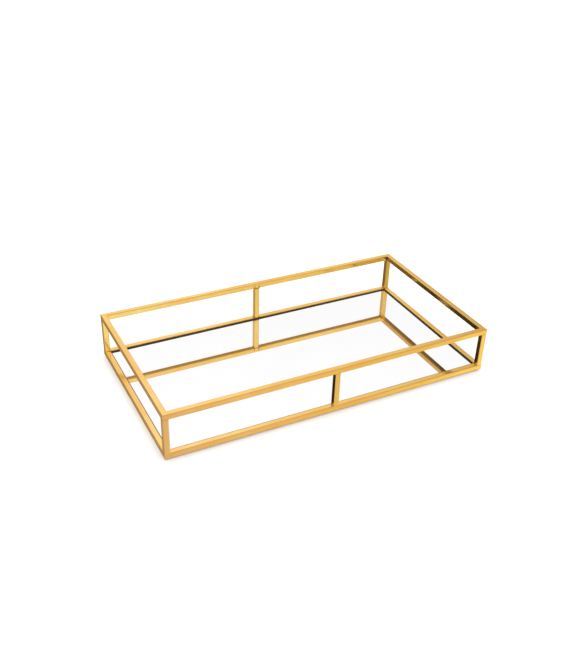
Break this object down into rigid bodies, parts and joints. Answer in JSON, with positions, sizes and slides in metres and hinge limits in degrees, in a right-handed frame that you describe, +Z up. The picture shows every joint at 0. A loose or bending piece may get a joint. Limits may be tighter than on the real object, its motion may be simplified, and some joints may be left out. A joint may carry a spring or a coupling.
{
  "type": "vanity tray",
  "caption": "Low rectangular vanity tray: an open frame of polished gold square bar, with corner and middle posts, around a recessed mirror base.",
  "frame": {"origin": "centre of the tray's footprint, on the surface that its pads stand on", "axes": "+X along the tray's length, +Y from the front long side to the back, +Z up"},
  "size_m": [0.33, 0.178, 0.0475],
  "materials": {
    "gold_frame": "polished gold plating over steel bar",
    "ledge_strip": "satin gold-lacquered steel strip",
    "mirror": "clear glass, silvered and sealed on the back",
    "backing_board": "plain grey-brown board",
    "felt": "black felt",
    "pad": "matt black rubber disc"
  },
  "bodies": {
    "root": {"bottom_rail_front": "gold_frame", "bottom_rail_back": "gold_frame", "bottom_rail_left": "gold_frame", "bottom_rail_right": "gold_frame", "top_rail_front": "gold_frame", "top_rail_back": "gold_frame", "top_rail_left": "gold_frame", "top_rail_right": "gold_frame", "corner_post_front_left": "gold_frame", "corner_post_front_right": "gold_frame", "corner_post_back_left": "gold_frame", "corner_post_back_right": "gold_frame", "mid_post_front": "gold_frame", "mid_post_back": "gold_frame", "ledge_strip_front": "ledge_strip", "ledge_strip_back": "ledge_strip", "ledge_strip_left": "ledge_strip", "ledge_strip_right": "ledge_strip", "backing_board": "backing_board", "felt_underlay": "felt", "mirror_plate": "mirror", "pad_front_left": "pad", "pad_front_right": "pad", "pad_back_left": "pad", "pad_back_right": "pad"}
  },
  "joints": []
}
